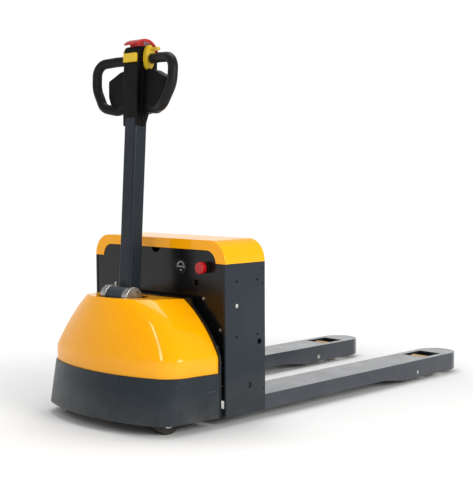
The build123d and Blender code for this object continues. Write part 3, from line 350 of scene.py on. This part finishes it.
# ---- Pieces that keep the CAD shape, with worked edges -------------------------------------
def new_piece(name, bm):
    mesh = bpy.data.meshes.new(name)
    bm.to_mesh(mesh)
    bm.free()
    piece = bpy.data.objects.new(name, mesh)
    bpy.context.scene.collection.objects.link(piece)
    return piece


def applied(piece):
    """Bakes the piece's modifiers into its mesh."""
    depsgraph = bpy.context.evaluated_depsgraph_get()
    mesh = bpy.data.meshes.new_from_object(piece.evaluated_get(depsgraph))
    piece.modifiers.clear()
    piece.data = mesh
    return piece


def cleaned(node, flat=0.5):
    """The node's mesh with its vertices merged and its flat faces joined up."""
    bm = bmesh.new()
    bm.from_mesh(NODES[node].data)
    bmesh.ops.remove_doubles(bm, verts=bm.verts, dist=1e-6)
    bmesh.ops.dissolve_limit(bm, angle_limit=math.radians(flat), verts=bm.verts, edges=bm.edges)
    return bm


def edged(node, width, segments=2, sharp=32.0):
    """A copy of the node with its sharp edges rounded, as folded, cut and moulded edges are."""
    piece = new_piece(node + "_worked", cleaned(node))
    bevel = piece.modifiers.new("edges", "BEVEL")
    bevel.width = width
    bevel.segments = segments
    bevel.limit_method = "ANGLE"
    bevel.angle_limit = math.radians(sharp)
    bevel.use_clamp_overlap = True
    bevel.harden_normals = False
    applied(piece)
    for face in piece.data.polygons:
        face.use_smooth = True
    weighted = piece.modifiers.new("normals", "WEIGHTED_NORMAL")
    weighted.keep_sharp = True
    return stand_for(piece, node)


def collar_front(bm):
    """The thin wall of the head's casing in front of the arm, in line with the leaning tiller."""
    pivot = sum(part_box("pivot_pin"), Vector()) / 2
    lean = Matrix.Rotation(TILLER_LEAN, 4, "Y")
    size = [b - a for a, b in COLLAR_WALL]
    middle = [(a + b) / 2 for a, b in COLLAR_WALL]
    shape = Matrix.Translation(pivot) @ lean @ Matrix.Translation(middle)
    bmesh.ops.create_cube(bm, size=1.0, matrix=shape @ Matrix.Diagonal((*size, 1)))


def moulded(node, voxel, rounds):
    """A copy of the node with the soft corners of a moulding, held within the node's own box."""
    low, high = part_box(node)
    bm = cleaned(node)
    if node == "head_front_shell":
        collar_front(bm)
    piece = new_piece(node + "_moulded", bm)
    remesh = piece.modifiers.new("skin", "REMESH")
    remesh.mode = "VOXEL"
    remesh.voxel_size = voxel
    smooth = piece.modifiers.new("soften", "SMOOTH")
    smooth.factor = 0.5
    smooth.iterations = rounds
    applied(piece)
    for vertex in piece.data.vertices:
        vertex.co = [min(max(c, a), b) for c, a, b in zip(vertex.co, low, high)]
    for face in piece.data.polygons:
        face.use_smooth = True
    return stand_for(piece, node)


# ---- Details -------------------------------------------------------------------------------
def detail(name, bm, body, slot):
    """A small piece that adds to the CAD shape."""
    piece = new_piece(name, bm)
    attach(piece, body)
    finish(piece, slot)
    for face in piece.data.polygons:
        face.use_smooth = len(face.vertices) == 4
    return piece


def arc_bar(bm, centre, span, radii, angles, steps=5):
    """A curved bar about an axis along X, between two places, two radii and two angles in degrees."""
    (x0, x1), (r0, r1), (start, end) = span, radii, angles
    rows = []
    for i in range(steps + 1):
        a = math.radians(start + (end - start) * i / steps)
        y, z = math.cos(a), math.sin(a)
        corners = ((x0, r0), (x0, r1), (x1, r1), (x1, r0))
        rows.append([bm.verts.new((x, centre[0] + r * y, centre[1] + r * z)) for x, r in corners])
    for a, b in zip(rows, rows[1:]):
        for k in range(4):
            bm.faces.new((a[k], a[(k + 1) % 4], b[(k + 1) % 4], b[k]))
    bm.faces.new(rows[0])
    bm.faces.new(rows[-1][::-1])


def gauge_dial():
    """The gauge's printed arc of segments and its state blocks, on the glass."""
    low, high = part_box("battery_gauge")
    centre = ((low.y + high.y) / 2, (low.z + high.z) / 2)
    face = low.x + GAUGE_GLASS_DEPTH
    bm = bmesh.new()
    for k in range(ARC_COUNT):
        start = ARC_START - k * ARC_STEP
        arc_bar(bm, centre, (face - PRINT_THICK, face), ARC_RADII, (start, start - ARC_SEGMENT))
    for dy, dz, width, height in STATE_BLOCKS:
        shape = Matrix.Translation((face - PRINT_THICK / 2, centre[0] + dy, centre[1] + dz))
        shape = shape @ Matrix.Diagonal((PRINT_THICK, width, height, 1))
        bmesh.ops.create_cube(bm, size=1.0, matrix=shape)
    return detail("gauge_dial", bm, "carriage", "pack_grey")


def camera():
    """The photograph's viewpoint."""
    level = math.cos(CAMERA_PITCH)
    forward = Vector((math.cos(CAMERA_YAW) * level, math.sin(CAMERA_YAW) * level, -math.sin(CAMERA_PITCH)))
    right = Vector((math.sin(CAMERA_YAW), -math.cos(CAMERA_YAW), 0))
    up = right.cross(forward)
    across = math.cos(CAMERA_ROLL) * right + math.sin(CAMERA_ROLL) * up
    upward = -math.sin(CAMERA_ROLL) * right + math.cos(CAMERA_ROLL) * up
    data = bpy.data.cameras.new("photo_camera")
    data.sensor_fit = "HORIZONTAL"
    data.sensor_width = SENSOR_WIDTH
    data.lens = SENSOR_WIDTH * CAMERA_FOCAL
    made = bpy.data.objects.new("photo_camera", data)
    bpy.context.scene.collection.objects.link(made)
    turn = Matrix((across, upward, -forward)).transposed()
    made.matrix_world = Matrix.Translation(CAMERA_PLACE) @ turn.to_4x4()
    bpy.context.scene.camera = made


def area_light(name, place, target, size, watts, tint):
    data = bpy.data.lights.new(name, "AREA")
    data.shape = "RECTANGLE"
    data.size, data.size_y = size
    data.energy = watts
    data.color = tint
    made = bpy.data.objects.new(name, data)
    made.location = place
    made.rotation_euler = (Vector(target) - Vector(place)).to_track_quat("-Z", "Y").to_euler()
    bpy.context.scene.collection.objects.link(made)


def pale_sky():
    """White round the horizon and dimmer overhead, so that the truck's top and its sides differ."""
    world = bpy.data.worlds.new("pale_sky")
    bpy.context.scene.world = world
    world.use_nodes = True
    nodes, links = world.node_tree.nodes, world.node_tree.links
    sky = nodes["Background"]
    sky.inputs["Color"].default_value = (1, 1, 1, 1)
    direction = nodes.new("ShaderNodeTexCoord").outputs["Generated"]

    def span(value, limits):
        made = nodes.new("ShaderNodeMapRange")
        for key, number in limits.items():
            made.inputs[key].default_value = number
        links.new(value, made.inputs["Value"])
        return made.outputs["Result"]

    height = nodes.new("ShaderNodeSeparateXYZ")
    links.new(direction, height.inputs["Vector"])
    side = nodes.new("ShaderNodeVectorMath")
    side.operation = "DOT_PRODUCT"
    side.inputs[1].default_value = VIEW_SIDE
    links.new(direction, side.inputs[0])
    strength = nodes.new("ShaderNodeMath")
    strength.operation = "MULTIPLY"
    links.new(span(height.outputs["Z"], SKY_FADE), strength.inputs[0])
    links.new(span(side.outputs["Value"], SKY_BEHIND), strength.inputs[1])
    links.new(strength.outputs["Value"], sky.inputs["Strength"])


def white_floor():
    """A flat floor that reaches the horizon."""
    bm = bmesh.new()
    signs = ((-1, -1), (1, -1), (1, 1), (-1, 1))
    bm.faces.new([bm.verts.new((x * FLOOR_REACH, y * FLOOR_REACH, 0)) for x, y in signs])
    floor = new_piece("floor", bm)
    ground = Shader("floor_white", (0.86, 0.86, 0.86, 1), 0.7, specular=0.1)
    ground.bsdf.inputs["Emission Color"].default_value = (1, 1, 1, 1)
    flat = ground.node("ShaderNodeVectorMath", operation="LENGTH")
    ground.link(ground.coords, flat.inputs[0])
    glow = ground.span(flat.outputs["Value"], GLOW_START, GLOW_FULL, 0.0, FLOOR_GLOW)
    ground.link(glow, ground.bsdf.inputs["Emission Strength"])
    ground.mottle((0.88, 0.88, 0.88, 1), 0.7, 0.3, 0.7, 0.5)
    floor.data.materials.append(ground.done())


def studio():
    """A white floor and sky, a soft key from the truck's right, and softer light on its front and top."""
    white_floor()
    pale_sky()
    for name, place, target, size, watts, tint in LIGHTS:
        area_light(name, place, target, size, watts, tint)
    bpy.context.scene.view_settings.view_transform = "Standard"
    bpy.context.scene.view_settings.look = "None"


for name, obj in NODES.items():
    finish(obj, SLOT_OF[name])
for name, width in EDGES.items():
    edged(name, width)
for name, (voxel, rounds) in MOULDED.items():
    moulded(name, voxel, rounds)
gauge_dial()

camera()
studio()
